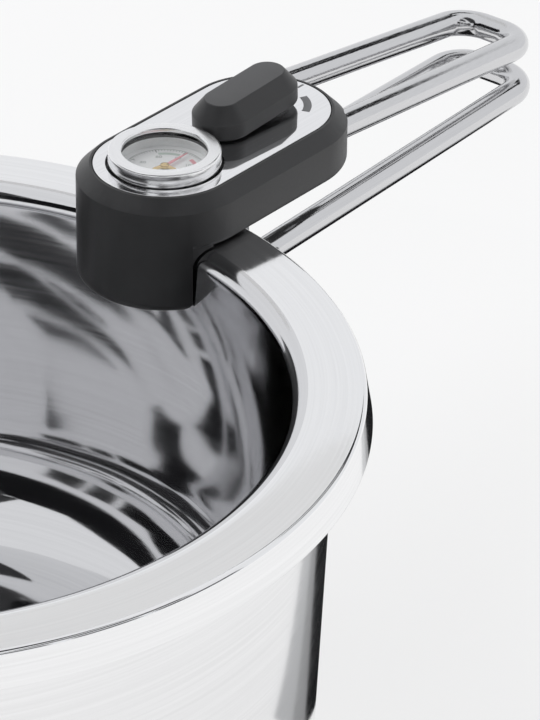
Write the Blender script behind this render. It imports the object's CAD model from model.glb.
"""Looks for a double-walled cooking pot with a clamp-on thermometer handle. Metres, +Z up."""

import math

import bmesh
import bpy
from mathutils import Matrix, Vector


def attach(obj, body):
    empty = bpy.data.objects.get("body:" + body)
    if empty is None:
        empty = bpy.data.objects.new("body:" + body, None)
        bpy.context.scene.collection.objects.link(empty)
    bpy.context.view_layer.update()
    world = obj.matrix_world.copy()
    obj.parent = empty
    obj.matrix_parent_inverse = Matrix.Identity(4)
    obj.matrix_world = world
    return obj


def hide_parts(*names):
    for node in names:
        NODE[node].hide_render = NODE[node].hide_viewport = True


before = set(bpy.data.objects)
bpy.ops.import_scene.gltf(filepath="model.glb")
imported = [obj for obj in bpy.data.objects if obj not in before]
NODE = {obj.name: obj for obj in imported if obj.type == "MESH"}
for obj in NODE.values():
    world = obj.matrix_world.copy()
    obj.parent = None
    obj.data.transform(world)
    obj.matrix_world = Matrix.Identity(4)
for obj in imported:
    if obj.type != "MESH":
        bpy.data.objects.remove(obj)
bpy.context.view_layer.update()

MM = 0.001
RIM_Z = 150.0       # the rim's top plane, in millimetres, which other heights are measured from
GAUGE_X = 152.7     # the thermometer's axis
SPINDLE_X = 209.2   # the lever's axis
PRINT_Z = 17.66     # top of the dial's print


# ---------- camera, light and floor ----------

def add_camera():
    """The photograph's viewpoint, fitted to the rim's ellipses."""
    azimuth, elevation, roll = (math.radians(v) for v in (38.99, 30.61, 0.54))
    forward = Vector((math.cos(azimuth) * math.cos(elevation), math.sin(azimuth) * math.cos(elevation),
                      -math.sin(elevation)))
    right = Vector((math.sin(azimuth), -math.cos(azimuth), 0))
    up = right.cross(forward)
    rolled_right = math.cos(roll) * right + math.sin(roll) * up
    rolled_up = math.cos(roll) * up - math.sin(roll) * right
    place = Matrix((rolled_right, rolled_up, -forward)).transposed().to_4x4()
    place.translation = Vector((-0.9581, -0.9470, 0.8034 + RIM_Z * MM))
    data = bpy.data.cameras.new("camera")
    data.sensor_fit = "VERTICAL"
    data.sensor_height = 36
    data.sensor_width = 36
    data.lens = 236.25
    data.shift_x = 1 / 720      # one pixel
    data.clip_end = 50
    camera = bpy.data.objects.new("camera", data)
    camera.matrix_world = place
    bpy.context.scene.collection.objects.link(camera)
    bpy.context.scene.camera = camera


def look_at(obj, target):
    obj.rotation_euler = (Vector(target) - obj.location).to_track_quat("-Z", "Y").to_euler()


def add_light(name, place, target, size, power):
    """A soft lamp that the steel doesn't mirror."""
    data = bpy.data.lights.new(name, "AREA")
    data.shape = "RECTANGLE"
    data.size, data.size_y = size
    data.energy = power
    obj = bpy.data.objects.new(name, data)
    obj.location = place
    look_at(obj, target)
    obj.visible_glossy = False
    bpy.context.scene.collection.objects.link(obj)


def plain_material(name, color, roughness):
    mat = bpy.data.materials.new(name)
    mat.use_nodes = True
    shader = mat.node_tree.nodes["Principled BSDF"]
    shader.inputs["Base Color"].default_value = (*color, 1)
    shader.inputs["Roughness"].default_value = roughness
    shader.inputs["Specular IOR Level"].default_value = 0.1
    return mat


def add_flag(name, points, color, shades=False):
    """A dull sheet that shows only in reflections. With shades, it also dims the matt surfaces it faces."""
    mesh = bpy.data.meshes.new(name)
    mesh.from_pydata(points, [], [tuple(range(len(points)))])
    mesh.materials.append(plain_material(name, color, 0.9))
    flag = bpy.data.objects.new(name, mesh)
    bpy.context.scene.collection.objects.link(flag)
    flag.visible_camera = False
    flag.visible_shadow = False
    flag.visible_diffuse = shades


def around(corners, distance):
    """Points at (azimuth, elevation) corners, in degrees, about a place inside the pot."""
    aim = Vector((0.08, 0, 0.1))
    points = []
    for azimuth, elevation in corners:
        a, e = math.radians(azimuth), math.radians(elevation)
        way = Vector((math.cos(a) * math.cos(e), math.sin(a) * math.cos(e), math.sin(e)))
        points.append(aim + distance * way)
    return points


def on_floor(corners):
    """Points a hair above the floor."""
    return [(x, y, 0.001) for x, y in corners]


def add_studio():
    bpy.context.scene.view_settings.view_transform = "Standard"
    world = bpy.data.worlds.new("studio")
    world.use_nodes = True
    world.node_tree.nodes["Background"].inputs["Color"].default_value = (0.97, 0.98, 1.0, 1)
    world.node_tree.nodes["Background"].inputs["Strength"].default_value = 0.85
    bpy.context.scene.world = world
    add_light("key", (-0.9, 1.1, 1.7), (0.1, 0, 0.1), (2.5, 1.9), 25)
    add_light("fill", (0.9, -1.5, 0.9), (0.1, 0, 0.1), (1.0, 1.0), 4)
    reach = 12
    floor = bpy.data.meshes.new("floor")
    floor.from_pydata([(-reach, -reach, 0), (reach, -reach, 0), (reach, reach, 0), (-reach, reach, 0)], [],
                      [(0, 1, 2, 3)])
    paint_white = plain_material("floor", (0.25, 0.25, 0.25), 0.9)
    glow = paint_white.node_tree.nodes["Principled BSDF"]
    glow.inputs["Emission Color"].default_value = (1, 1, 1, 1)
    glow.inputs["Emission Strength"].default_value = 0.69
    floor.materials.append(paint_white)
    obj = bpy.data.objects.new("floor", floor)
    bpy.context.scene.collection.objects.link(obj)
    dark = (0.006, 0.006, 0.007)
    dim = (0.03, 0.03, 0.031)
    grey = (0.05, 0.05, 0.052)
    near_low = around([(-155, 16), (-104, 14), (-104, 27), (-126, 27), (-137, 31), (-150, 33)], 1.5)
    near_slit = around([(-99, 14), (-84, 13), (-84, 27), (-99, 27)], 1.5)
    near_end = around([(-80, 13), (-58, 12), (-58, 26), (-80, 27)], 1.5)
    near_high = around([(-186, 35), (-149, 37), (-122, 51), (-100, 57), (-60, 57), (-60, 76), (-120, 80),
                        (-186, 70)], 1.6)
    near_mid = around([(-114, 35), (-66, 33), (-60, 49), (-98, 50)], 1.55)
    left = around([(110, 22), (150, 18), (186, 18), (186, 41), (150, 42), (132, 44), (110, 41)], 1.6)
    left_high = around([(168, 43), (188, 43), (188, 62), (174, 60)], 1.65)
    wire = around([(-10, 29), (16, 29), (27, 48), (17, 49), (6, 36), (0, 36), (-2, 49), (-12, 48)], 1.4)
    add_flag("flag_near_low", near_low, dark, True)
    add_flag("flag_near_slit", near_slit, dim, True)
    add_flag("flag_near_end", near_end, dim, True)
    add_flag("flag_near_high", near_high, grey, True)
    add_flag("flag_near_mid", near_mid, (0.08, 0.08, 0.085))
    add_flag("flag_left", left, dark, True)
    add_flag("flag_left_high", left_high, grey)
    add_flag("flag_wire", wire, dark)

    edge = on_floor([(0.115, -0.124), (0.47, -0.05), (0.42, 0.17), (0.13, -0.07)])
    edge_soft = on_floor([(0.115, -0.142), (0.47, -0.067), (0.47, -0.05), (0.115, -0.124)])
    edge_faint = on_floor([(0.115, -0.165), (0.47, -0.09), (0.47, -0.067), (0.115, -0.142)])
    add_flag("flag_edge", edge, dark)
    add_flag("flag_edge_soft", edge_soft, (0.45, 0.45, 0.45))
    add_flag("flag_edge_faint", edge_faint, (0.7, 0.7, 0.7))
    add_flag("card_rim", around([(28, 35), (60, 35), (60, 55), (28, 55)], 1.6), (0.8, 0.8, 0.8))


add_camera()
add_studio()


# ---------- materials ----------

class Nodes:
    """Short names for wiring a material's nodes."""

    def __init__(self, name):
        self.mat = bpy.data.materials.new(name)
        self.mat.use_nodes = True
        self.tree = self.mat.node_tree
        self.shader = self.tree.nodes["Principled BSDF"]
        self.coords = self.tree.nodes.new("ShaderNodeTexCoord").outputs["Object"]

    def link(self, a, b):
        self.tree.links.new(a, b)

    def put(self, socket, value):
        if hasattr(value, "is_output"):
            self.link(value, socket)
        else:
            socket.default_value = value

    def math(self, op, a, b=0.0):
        n = self.tree.nodes.new("ShaderNodeMath")
        n.operation = op
        self.put(n.inputs[0], a)
        self.put(n.inputs[1], b)
        return n.outputs[0]

    def scaled(self, vector, scale):
        n = self.tree.nodes.new("ShaderNodeVectorMath")
        n.operation = "MULTIPLY"
        self.link(vector, n.inputs[0])
        n.inputs[1].default_value = scale
        return n.outputs[0]

    def round_coords(self, centre, radial, around, height):
        """Object coordinates as (radius, angle, height), each with its own scale, about a vertical axis."""
        split = self.tree.nodes.new("ShaderNodeSeparateXYZ")
        self.link(self.coords, split.inputs[0])
        x, y, z = split.outputs
        x = self.math("SUBTRACT", x, centre * MM)
        r = self.math("SQRT", self.math("ADD", self.math("MULTIPLY", x, x), self.math("MULTIPLY", y, y)))
        join = self.tree.nodes.new("ShaderNodeCombineXYZ")
        self.link(self.math("MULTIPLY", r, radial), join.inputs[0])
        self.link(self.math("MULTIPLY", self.math("ARCTAN2", y, x), around), join.inputs[1])
        self.link(self.math("MULTIPLY", z, height), join.inputs[2])
        return join.outputs[0]

    def noise(self, vector, scale, detail=3.0):
        n = self.tree.nodes.new("ShaderNodeTexNoise")
        self.link(vector, n.inputs["Vector"])
        n.inputs["Scale"].default_value = scale
        n.inputs["Detail"].default_value = detail
        return n.outputs["Fac"]

    def spread(self, value, low, high):
        """Low to high, over the range that a noise value mostly lies in."""
        n = self.tree.nodes.new("ShaderNodeMapRange")
        self.link(value, n.inputs["Value"])
        n.inputs["From Min"].default_value = 0.3
        n.inputs["From Max"].default_value = 0.7
        n.inputs["To Min"].default_value = low
        n.inputs["To Max"].default_value = high
        return n.outputs["Result"]

    def colors(self, value, first, second):
        n = self.tree.nodes.new("ShaderNodeMix")
        n.data_type = "RGBA"
        self.link(value, n.inputs["Factor"])
        n.inputs["A"].default_value = (*first, 1)
        n.inputs["B"].default_value = (*second, 1)
        return n.outputs["Result"]

    def bump(self, value, distance):
        n = self.tree.nodes.new("ShaderNodeBump")
        n.inputs["Distance"].default_value = distance
        self.link(value, n.inputs["Height"])
        self.link(n.outputs["Normal"], self.shader.inputs["Normal"])
        self.top_bump = n

    def bump_under(self, value, distance):
        """A broader bump beneath the one already on the shader."""
        n = self.tree.nodes.new("ShaderNodeBump")
        n.inputs["Distance"].default_value = distance
        self.link(value, n.inputs["Height"])
        self.link(n.outputs["Normal"], self.top_bump.inputs["Normal"])

    def tangent(self, axis):
        n = self.tree.nodes.new("ShaderNodeTangent")
        n.direction_type = "RADIAL"
        n.axis = axis
        self.link(n.outputs["Tangent"], self.shader.inputs["Tangent"])


def steel(name, color, rough, brushed, brush_scale, anisotropy=0.0, bump=0.0000015, vary=0.04, waves=0.0,
          centre=0.0):
    """Steel with brush lines, which run round a vertical axis at centre, or along the axis in brushed."""
    n = Nodes(name)
    if brushed == "round":
        lines = n.noise(n.round_coords(centre, brush_scale, 1.6, brush_scale), 1.0, 5)
    else:
        scale = [brush_scale] * 3
        scale["XYZ".index(brushed)] = brush_scale * 0.012
        lines = n.noise(n.scaled(n.coords, scale), 1.0, 5)
    clouds = n.noise(n.coords, 26, 4)
    n.shader.inputs["Metallic"].default_value = 1
    n.link(n.math("ADD", n.spread(lines, rough - vary, rough + vary), n.spread(clouds, -0.015, 0.02)),
           n.shader.inputs["Roughness"])
    n.link(n.colors(n.spread(lines, 0, 1), [c * 0.94 for c in color], color), n.shader.inputs["Base Color"])
    if anisotropy:
        n.shader.inputs["Anisotropic"].default_value = anisotropy
        n.tangent("Z" if brushed == "round" else brushed)
    n.bump(lines, bump)
    if waves:
        n.bump_under(n.noise(n.coords, 15, 1), waves)
    return n.mat


def plastic(name, color, rough, grain=2600, depth=0.000012, specular=0.5):
    """Moulded plastic or rubber with a fine grain."""
    n = Nodes(name)
    grains = n.noise(n.coords, grain, 2)
    clouds = n.noise(n.coords, 70, 4)
    n.link(n.colors(n.spread(clouds, 0, 1), [c * 0.9 for c in color], [c * 1.12 for c in color]),
           n.shader.inputs["Base Color"])
    n.link(n.math("ADD", n.spread(grains, -0.05, 0.05), n.spread(clouds, rough - 0.03, rough + 0.04)),
           n.shader.inputs["Roughness"])
    n.shader.inputs["Specular IOR Level"].default_value = specular
    n.bump(grains, depth)
    return n.mat


def paint(name, color, rough):
    """Printed or sprayed paint."""
    n = Nodes(name)
    clouds = n.noise(n.coords, 300, 3)
    tones = n.colors(n.spread(clouds, 0, 1), [c * 0.95 for c in color], color)
    n.link(tones, n.shader.inputs["Base Color"])
    n.link(n.spread(clouds, rough - 0.04, rough + 0.04), n.shader.inputs["Roughness"])
    n.bump(clouds, 0.000002)
    return n.mat


def glass(name):
    """Clear flat glass with faint smears."""
    n = Nodes(name)
    n.tree.nodes.remove(n.shader)
    smears = n.noise(n.coords, 120, 3)
    clear = n.tree.nodes.new("ShaderNodeBsdfTransparent")
    gloss = n.tree.nodes.new("ShaderNodeBsdfGlossy")
    n.link(n.spread(smears, 0.01, 0.05), gloss.inputs["Roughness"])
    mix = n.tree.nodes.new("ShaderNodeMixShader")
    mix.inputs[0].default_value = 0.08
    n.link(clear.outputs[0], mix.inputs[1])
    n.link(gloss.outputs[0], mix.inputs[2])
    n.link(mix.outputs[0], n.tree.nodes["Material Output"].inputs["Surface"])
    return n.mat


MAT = {
    "bowl": steel("bowl_steel", (0.78, 0.78, 0.79), 0.06, "round", 900, 0.3, bump=0.000001, vary=0.02,
                  waves=0.0006),
    "rim": steel("rim_steel", (0.96, 0.96, 0.965), 0.07, "round", 1100, 0.2, bump=0.0000004, vary=0.02,
                 waves=0.00001),
    "shell": steel("shell_steel", (0.93, 0.93, 0.935), 0.12, "round", 1000, 0.3, bump=0.0000005, vary=0.03,
                   waves=0.00001),
    "base": steel("base_steel", (0.68, 0.68, 0.69), 0.3, "round", 700, 0.5),
    "wire": steel("wire_steel", (0.70, 0.70, 0.71), 0.12, "X", 2600, bump=0.000004, vary=0.06),
    "plate": steel("plate_steel", (0.94, 0.94, 0.95), 0.04, "X", 1500, bump=0.0000002, vary=0.015),
    "bezel": steel("bezel_steel", (0.97, 0.97, 0.975), 0.22, "round", 2600, 0.3, bump=0.0000002, vary=0.06,
                   centre=GAUGE_X),
    "hardware": steel("hardware_steel", (0.55, 0.55, 0.56), 0.3, "Y", 1500),
    "core": steel("core_aluminium", (0.72, 0.72, 0.73), 0.42, "round", 500),
    "brass": steel("brass", (0.80, 0.60, 0.30), 0.24, "X", 1200),
    "copper": steel("copper_tube", (0.72, 0.42, 0.27), 0.26, "X", 1200),
    "housing": plastic("housing_plastic", (0.024, 0.024, 0.025), 0.42),
    "grip": plastic("grip_plastic", (0.026, 0.026, 0.027), 0.42, 3200),
    "grip_top": plastic("grip_top_plastic", (0.062, 0.062, 0.064), 0.38, 3200),
    "rubber": plastic("pad_rubber", (0.014, 0.014, 0.014), 0.75, 1500, 0.00002, 0.3),
    "glass": glass("gauge_glass"),
    "dial": paint("dial_paint", (0.86, 0.87, 0.87), 0.45),
    "reflector": paint("reflector_paint", (0.78, 0.79, 0.79), 0.35),
    "marks": paint("mark_paint", (0.20, 0.20, 0.205), 0.5),
    "ticks": paint("tick_paint", (0.34, 0.36, 0.35), 0.5),
    "red": paint("red_paint", (0.78, 0.34, 0.38), 0.45),
    "green": paint("green_paint", (0.50, 0.58, 0.53), 0.45),
}


# ---------- mesh helpers ----------

def finish_mesh(name, bm, material, body, replaced=(), sharp=32, bevel=0.0):
    """Turns a bmesh into a shaded piece that rides on a body."""
    bmesh.ops.recalc_face_normals(bm, faces=bm.faces)
    mesh = bpy.data.meshes.new(name)
    bm.to_mesh(mesh)
    bm.free()
    for face in mesh.polygons:
        face.use_smooth = True
    mesh.set_sharp_from_angle(angle=math.radians(sharp))
    mesh.materials.append(MAT[material])
    obj = bpy.data.objects.new(name, mesh)
    bpy.context.scene.collection.objects.link(obj)
    if bevel:
        cut = obj.modifiers.new("edges", "BEVEL")
        cut.width = bevel * MM
        cut.segments = 3
        cut.limit_method = "ANGLE"
        cut.angle_limit = math.radians(sharp)
        cut.use_clamp_overlap = True
        cut.harden_normals = True
    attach(obj, body)
    if replaced:
        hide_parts(*replaced)
    return obj


def rounded(points):
    """Polyline of (r, z, radius) corners, with each corner's radius turned into a short arc."""
    out = []
    for i, (r, z, radius) in enumerate(points):
        here = Vector((r, z))
        if not radius or i in (0, len(points) - 1):
            out.append(here)
            continue
        before = (Vector(points[i - 1][:2]) - here).normalized()
        after = (Vector(points[i + 1][:2]) - here).normalized()
        half = before.angle(after) / 2
        reach = radius / math.tan(half)
        centre = here + (before + after).normalized() * (radius / math.sin(half))
        start = here + before * reach - centre
        end = here + after * reach - centre
        turn = math.atan2(start.x * end.y - start.y * end.x, start.dot(end))
        steps = max(3, int(abs(math.degrees(turn)) / 9))
        for k in range(steps + 1):
            a = turn * k / steps
            out.append(centre + Vector((start.x * math.cos(a) - start.y * math.sin(a),
                                        start.x * math.sin(a) + start.y * math.cos(a))))
    return out


def skin(bm, rings, closed=False):
    """Faces between neighbouring rings of points, and with closed from the last ring to the first."""
    verts = [[bm.verts.new(p) for p in ring] for ring in rings]
    count = len(verts[0])
    pairs = list(zip(verts, verts[1:]))
    if closed:
        pairs.append((verts[-1], verts[0]))
    for a, b in pairs:
        for k in range(count):
            m = (k + 1) % count
            bm.faces.new((a[k], a[m], b[m], b[k]))
    return verts


def capped_skin(bm, rings):
    """Faces between neighbouring rings, and one on the first and the last ring."""
    verts = skin(bm, rings)
    bm.faces.new(verts[0])
    bm.faces.new(verts[-1])


def lathe(profile, x=0.0, base=RIM_Z, segments=192, loop=True):
    """Revolves a (r, z) profile about the vertical axis at x. A closed loop becomes a ring-shaped solid."""
    bm = bmesh.new()
    turns = [2 * math.pi * k / segments for k in range(segments)]
    rings = []
    for r, z in profile:
        reach = max(r, 0)
        rings.append([Vector(((x + reach * math.cos(t)) * MM, reach * math.sin(t) * MM, (base + z) * MM))
                      for t in turns])
    skin(bm, rings, loop)
    bmesh.ops.remove_doubles(bm, verts=bm.verts, dist=1e-7)
    return bm


def stadium(x1, x2, r):
    """Outline of a shape with two round ends."""
    steps = 40
    pts = []
    for start, x in ((-math.pi / 2, x2), (math.pi / 2, x1)):
        for k in range(steps + 1):
            t = start + math.pi * k / steps
            pts.append((x + r * math.cos(t), r * math.sin(t)))
    return pts


def foot_arc(r, z, radius, degrees):
    """Points of a profile's round corner, from below its centre outwards."""
    return [Vector((r + radius * math.sin(a), z - radius * math.cos(a))) for a in map(math.radians, degrees)]


def lip_arc(r, z, radius, degrees):
    """Points of a profile's round corner, from its centre's inner side upwards."""
    return [Vector((r - radius * math.cos(a), z + radius * math.sin(a))) for a in map(math.radians, degrees)]


def from_cad(node, name, material, body, bevel=0.25, sharp=32):
    """A cleaned copy of a CAD node, with softened edges, that stands for it."""
    bm = bmesh.new()
    bm.from_mesh(NODE[node].data)
    bmesh.ops.remove_doubles(bm, verts=bm.verts, dist=2e-6)
    bmesh.ops.dissolve_limit(bm, angle_limit=math.radians(0.6), verts=bm.verts, edges=bm.edges)
    finish_mesh(name, bm, material, body, (node,), sharp, bevel)


def paint_node(node, material):
    """A CAD node that is shown as it is."""
    data = NODE[node].data
    data.materials.clear()
    data.materials.append(MAT[material])


# ---------- pot ----------

def add_pot():
    """The bowl and its rim in one skin, the shell round it, and the base."""
    lean = 0.0454                   # both walls lean outwards by this much for each millimetre up
    bowl_floor, sheet = -134, 1
    floor_r, curve = 94.14, 42
    curve_z = bowl_floor + curve
    lip_r, lip = 147, 7
    wall_top = lip_r - lip
    wall_h = -lip - curve_z
    wall_low = wall_top - lean * wall_h
    inside = [Vector((0, bowl_floor)), Vector((floor_r, bowl_floor))]
    inside += foot_arc(floor_r, curve_z, curve, range(3, 91, 3))
    inside += [Vector((wall_low + (wall_top - wall_low) * k / 12, curve_z + wall_h * k / 12))
               for k in range(1, 12)]
    inside += lip_arc(lip_r, -lip, lip, range(0, 91, 6))
    flange_r, skirt_r, skirt_low = 165.8, 168.0, -12.5
    edge = rounded([(150, 0, 0), (flange_r, 0, 1.9), (skirt_r, skirt_low, 0.4),
                    (skirt_r - sheet, skirt_low, 0.4), (164.9, -sheet, 0.9), (150, -sheet, 0)])
    back = lip_arc(lip_r, -lip, lip - sheet, range(90, -1, -10))
    back += [Vector((wall_low + sheet, curve_z))]
    back += foot_arc(floor_r, curve_z, curve + sheet, range(80, -1, -10))
    back += [Vector((0, bowl_floor - sheet))]
    bowl = lathe(inside + edge + back, segments=360, loop=False)
    piece = finish_mesh("bowl", bowl, "bowl", "pot_and_handle", ("inner_bowl", "rim_ring"), 40)
    piece.data.materials.append(MAT["rim"])
    for face in piece.data.polygons:
        radius = math.hypot(face.center.x, face.center.y) / MM
        if radius > lip_r - 0.5 and face.center.z > (RIM_Z - 14) * MM:
            face.material_index = 1

    low = 3.5 - RIM_Z
    corner, shell_sheet, shell_top = 14, 0.8, -1
    corner_z = low + corner
    wall_r = 156.1 + lean * corner_z
    corner_r = wall_r - corner
    outside = [Vector((0, low))] + foot_arc(corner_r, corner_z, corner, range(0, 91, 5))
    outside += [Vector((wall_r + lean * (shell_top - corner_z) * k / 10,
                        corner_z + (shell_top - corner_z) * k / 10)) for k in range(1, 11)]
    inner = [Vector((outside[-1].x - shell_sheet, shell_top)), Vector((wall_r - shell_sheet, corner_z))]
    inner += foot_arc(corner_r, corner_z, corner - shell_sheet, range(80, -1, -10))
    inner += [Vector((0, low + shell_sheet))]
    shell = lathe(outside + inner, segments=360, loop=False)
    finish_mesh("shell", shell, "shell", "pot_and_handle", ("outer_shell",), 40)

    base_r, base_h, hollow = 128, 3.5, 0.35
    base = rounded([(0, hollow, 0), (96, hollow, 0), (96.4, 0, 0.15), (base_r, 0, 1.4),
                    (base_r, base_h, 0.4), (0, base_h, 0)])
    finish_mesh("base", lathe(base, base=0, segments=240, loop=False), "base", "pot_and_handle",
                ("base_cap",), 40)
    paint_node("base_core", "core")


# ---------- wire loops ----------

def add_wire(name, node, body, start_x, start_z, half_w, taper, pitch):
    """The same bent wire as the CAD node, finely divided, with softly rounded cut ends."""
    end_x, corner, wire = 346.0, 11.6, 5.0
    straight_steps, corner_steps, sides = 24, 32, 48
    delta = math.atan(taper)
    tilt = math.radians(pitch)
    cu = (end_x - start_x) / math.cos(tilt) - corner
    cv = half_w - taper * cu - corner / math.cos(delta)
    last_u, last_v = cu + corner * math.sin(delta), cv + corner * math.cos(delta)
    across = math.pi / 2 - delta        # the way across the wire, on its straight side
    half = []
    for k in range(straight_steps):
        part = k / straight_steps
        half.append((last_u * part, half_w + (last_v - half_w) * part, across))
    for k in range(corner_steps + 1):
        a = across * (1 - k / corner_steps)
        half.append((cu + corner * math.cos(a), cv + corner * math.sin(a), a))
    path = half + [(u, -v, -a) for u, v, a in reversed(half)]
    place = Matrix.Translation((start_x * MM, 0, (RIM_Z + start_z) * MM)) @ Matrix.Rotation(-tilt, 4, "Y")

    def ring(u, v, a, r):
        points = []
        for k in range(sides):
            b = 2 * math.pi * k / sides
            out = r * math.cos(b)
            points.append(place @ Vector(((u + out * math.cos(a)) * MM, (v + out * math.sin(a)) * MM,
                                          r * math.sin(b) * MM)))
        return points

    ends = [(0.0, wire - 0.6), (0.15, wire - 0.28), (0.6, wire)]
    u0, v0, a0 = path[0]
    u1, v1, a1 = path[-1]
    rings = [ring(u0 + back, v0 - taper * back, a0, r) for back, r in ends]
    rings += [ring(u, v, a, wire) for u, v, a in path[1:-1]]
    rings += [ring(u1 + back, v1 + taper * back, a1, r) for back, r in reversed(ends)]
    bm = bmesh.new()
    capped_skin(bm, rings)
    finish_mesh(name, bm, "wire", body, (node,), 50)


# ---------- thermometer ----------

def add_gauge():
    """The bezel with its fine groove, the lens, the reflector ring and the dial."""
    body = "pot_and_handle"
    bezel_r, foot, top, hole = 20, 18.5, 25.6, 15.1
    groove_low, groove_high, groove_r = 21.6, 22.2, 19.6
    bezel = rounded([(18.6, foot, 0.2), (bezel_r, foot, 0.25), (bezel_r, groove_low, 0.1),
                     (groove_r, groove_low + 0.15, 0.08), (groove_r, groove_high - 0.15, 0.08),
                     (bezel_r, groove_high, 0.1), (bezel_r, top, 0.85), (hole + 0.4, top, 0.35),
                     (hole, top - 0.4, 0.15), (hole, 24.1, 0.1), (18.6, 24.1, 0.1), (18.6, foot + 0.2, 0)])
    finish_mesh("bezel", lathe(bezel, GAUGE_X), "bezel", body, ("gauge_bezel",), 40)
    crown = [(0, 24.35), (6, 24.31), (11, 24.21), (15, 24.1), (18.2, 24.1)]
    lens = [Vector(p) for p in crown + [(18.4, 23.9), (18.4, 22.8), (18.2, 22.6), (0, 22.6)]]
    finish_mesh("lens", lathe(lens, GAUGE_X, loop=False), "glass", body, ("gauge_lens",), 40)
    cone = rounded([(17, 17.6, 0.1), (18.2, 17.6, 0.2), (18.2, 21.8, 0.2), (15.6, 21.8, 0.15),
                    (15.6, 21.1, 0.15), (17, 17.7, 0)])
    finish_mesh("reflector", lathe(cone, GAUGE_X), "reflector", body, ("reflector_ring",), 40)
    face = rounded([(1.2, 17.0, 0), (18.2, 17.0, 0), (18.2, 17.6, 0.15), (1.6, 17.6, 0.1), (1.2, 17.45, 0)])
    finish_mesh("dial", lathe(face, GAUGE_X), "dial", body, ("dial_face",), 40)
    for node, material in (("gauge_case", "bezel"), ("lens_seal", "rubber"), ("movement_plate", "brass"),
                           ("bourdon_coil", "copper"), ("capillary_tube", "copper"),
                           ("sensor_bulb", "hardware")):
        paint_node(node, material)


def dial_sector(bm, r1, r2, a1, a2):
    """A thin slab of print between two radii and two angles about the thermometer's axis."""
    thick = 0.05
    steps = max(2, int(abs(a2 - a1) / 3))
    turns = [math.radians(a1 + (a2 - a1) * k / steps) for k in range(steps + 1)]

    def arc(r, z):
        return [bm.verts.new(((GAUGE_X + r * math.cos(t)) * MM, r * math.sin(t) * MM, (RIM_Z + z) * MM))
                for t in turns]

    top = [arc(r, PRINT_Z) for r in (r1, r2)]
    bottom = [arc(r, PRINT_Z - thick) for r in (r1, r2)]
    for k in range(steps):
        bm.faces.new((top[0][k], top[1][k], top[1][k + 1], top[0][k + 1]))
        bm.faces.new((bottom[0][k], bottom[0][k + 1], bottom[1][k + 1], bottom[1][k]))
        for side in (0, 1):
            bm.faces.new((top[side][k], top[side][k + 1], bottom[side][k + 1], bottom[side][k]))
    for k in (0, steps):
        bm.faces.new((top[0][k], top[1][k], bottom[1][k], bottom[0][k]))


def add_dial_print():
    """Scale, coloured arcs and plain numbers, printed a hair above the dial."""
    body = "pot_and_handle"
    first, last, count = 189, -81, 60       # the scale's end marks, in degrees, and its steps
    step = (last - first) / count
    numbers = 7
    ticks = bmesh.new()
    for k in range(count + 1):
        a = first + step * k
        long = k % 10 == 0
        width = 0.9 if long else 0.5
        dial_sector(ticks, 12.3 if long else 13.2, 14.2, a - width, a + width)
    dial_sector(ticks, 14.3, 14.5, last, first)
    finish_mesh("dial_scale", ticks, "ticks", body)
    for color, start, end, slot in (("red", -36, -14, "pointer_red"), ("green", 12, 52, "mark_grey")):
        band = bmesh.new()
        dial_sector(band, 10.4, 11.9, start, end)
        finish_mesh("dial_" + color, band, color, body)
    for k in range(numbers):
        a = math.radians(first + (last - first) * k / (numbers - 1))
        name = "dial_number_%d" % k
        text = bpy.data.curves.new(name, "FONT")
        text.body = str(k * 20)
        text.size = 2.4 * MM
        text.extrude = 0.02 * MM
        text.align_x = "CENTER"
        text.align_y = "CENTER"
        text.materials.append(MAT["ticks"])
        obj = bpy.data.objects.new(name, text)
        obj.location = ((GAUGE_X + 9.0 * math.cos(a)) * MM, 9.0 * math.sin(a) * MM, (RIM_Z + 17.64) * MM)
        obj.rotation_euler = (0, 0, math.radians(-51))      # upright for somebody at the photograph's side
        bpy.context.scene.collection.objects.link(obj)
        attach(obj, body)


def add_pointer():
    """The needle, and the brass hub with its two short arms."""
    body = "gauge_pointer"
    half = [(1.4, -0.62), (5, -0.55), (11.6, -0.14)]
    outline = half + [(12.4, 0)] + [(u, -v) for u, v in reversed(half)]
    rings = []
    for shrink, z in ((0.8, 18.6), (1, 18.66), (1, 18.94), (0.8, 19.0)):
        rings.append([Vector(((GAUGE_X + u) * MM, v * shrink * MM, (RIM_Z + z) * MM)) for u, v in outline])
    bm = bmesh.new()
    capped_skin(bm, rings)
    finish_mesh("needle", bm, "red", body, ("pointer",), 40)
    hub = rounded([(0, 18.2, 0), (1.6, 18.2, 0.1), (1.6, 19.35, 0.3), (0.7, 19.6, 0.15), (0, 19.5, 0)])
    hub_mesh = lathe(hub, GAUGE_X, segments=64, loop=False)
    arm = ((1, -0.9), (4.4, -0.5), (5, -0.2), (5, 0.2), (4.4, 0.5), (1, 0.9))
    for turn in (163, 273):
        t = math.radians(turn)
        cos, sin = math.cos(t), math.sin(t)
        rings = []
        for z in (18.6, 19.1):
            turned = [(GAUGE_X + cos * u - sin * v, sin * u + cos * v) for u, v in arm]
            rings.append([Vector((x * MM, y * MM, (RIM_Z + z) * MM)) for x, y in turned])
        capped_skin(hub_mesh, rings)
    finish_mesh("hub", hub_mesh, "brass", body, ("pointer_hub",), 40)
    paint_node("pointer_spindle", "hardware")


# ---------- handle housing, clamp and lever ----------

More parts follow.
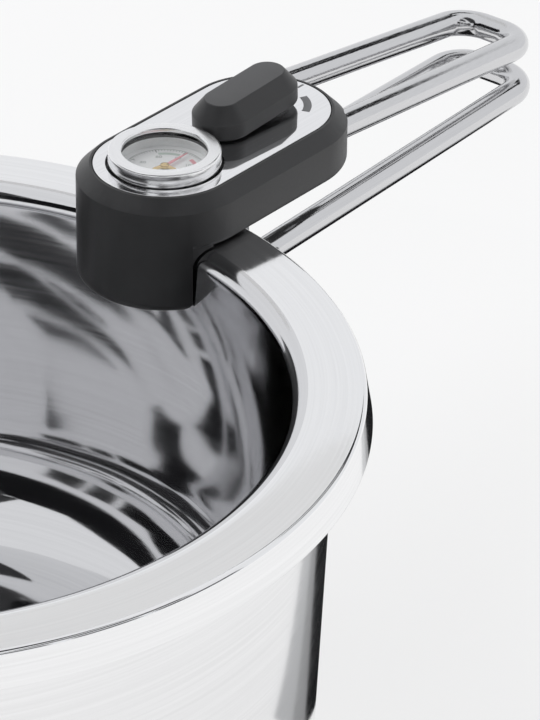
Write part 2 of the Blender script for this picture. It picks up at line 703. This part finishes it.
def add_housing():
    body = "pot_and_handle"
    from_cad("housing", "housing_shell", "housing", body, 0.3, 28)
    from_cad("bottom_cover", "cover", "housing", body, 0.25)
    from_cad("top_plate", "plate", "plate", body, 0.18)
    from_cad("rim_pad", "rim_cushion", "rubber", body, 0.3)
    from_cad("leg_pad", "leg_cushion", "rubber", body, 0.4)
    from_cad("pivot_bracket", "bracket", "hardware", body, 0.3)
    paint_node("plate_marks", "marks")
    for node in ("anchor_screws", "bracket_screws", "cover_screw", "pivot_pin", "pin_clips"):
        from_cad(node, node + "_body", "hardware", body, 0.3)
    paint_node("spindle_bush", "brass")


def add_clamp():
    from_cad("lower_jaw", "jaw", "hardware", "lower_handle", 0.5)
    from_cad("jaw_pad", "jaw_cushion", "rubber", "lower_handle", 0.4)
    paint_node("return_spring", "hardware")
    from_cad("clamp_slide", "slide_bar", "hardware", "clamp_slide", 0.25)


def add_lever():
    """The grip, with a sloping shoulder and a small tilt about the rocker pin, and what turns with it."""
    foot, ridge, top = 21.2, 27.7, 33.4
    side, crown, hollow = 11, 6.4, 5.4
    profile = rounded([(hollow, 26.0, 0), (hollow, foot, 0.4), (side, foot, 1.3), (side, ridge, 0.8),
                       (crown, top, 0.8), (0.02, top + 0.05, 0)])
    rocker = Vector((187 * MM, 0, (RIM_Z + 25.2) * MM))
    tip = Matrix.Rotation(math.radians(-2.6), 4, "Y")
    tilt = Matrix.Translation(rocker) @ tip @ Matrix.Translation(-rocker)
    rings = []
    for r, z in profile:
        outline = stadium(184.5, SPINDLE_X, r)
        rings.append([tilt @ Vector((x * MM, y * MM, (RIM_Z + z) * MM)) for x, y in outline])
    bm = bmesh.new()
    capped_skin(bm, rings)
    grip = finish_mesh("grip", bm, "grip", "lever_grip", ("lever_grip",), 40)
    grip.data.materials.append(MAT["grip_top"])
    for face in grip.data.polygons:
        if face.normal.z > 0.95 and face.center.z > (RIM_Z + 30) * MM:
            face.material_index = 1
    for node, name, bevel in (("lever_arm", "arm", 0.25), ("arm_screw", "arm_screw_body", 0.25),
                              ("lock_cam", "cam", 0.2)):
        from_cad(node, name, "hardware", "lever", bevel)
    for node in ("spindle", "lever_pin", "lever_spring"):
        paint_node(node, "hardware")


add_pot()
add_wire("loop_upper", "upper_loop", "pot_and_handle", start_x=208, start_z=13.6, half_w=20.36,
         taper=0.0368, pitch=-6.55)
add_wire("loop_lower", "lower_loop", "lower_handle", start_x=172.5, start_z=-22.44, half_w=19.72,
         taper=0.0164, pitch=1.15)
add_gauge()
add_dial_print()
add_pointer()
add_housing()
add_clamp()
add_lever()
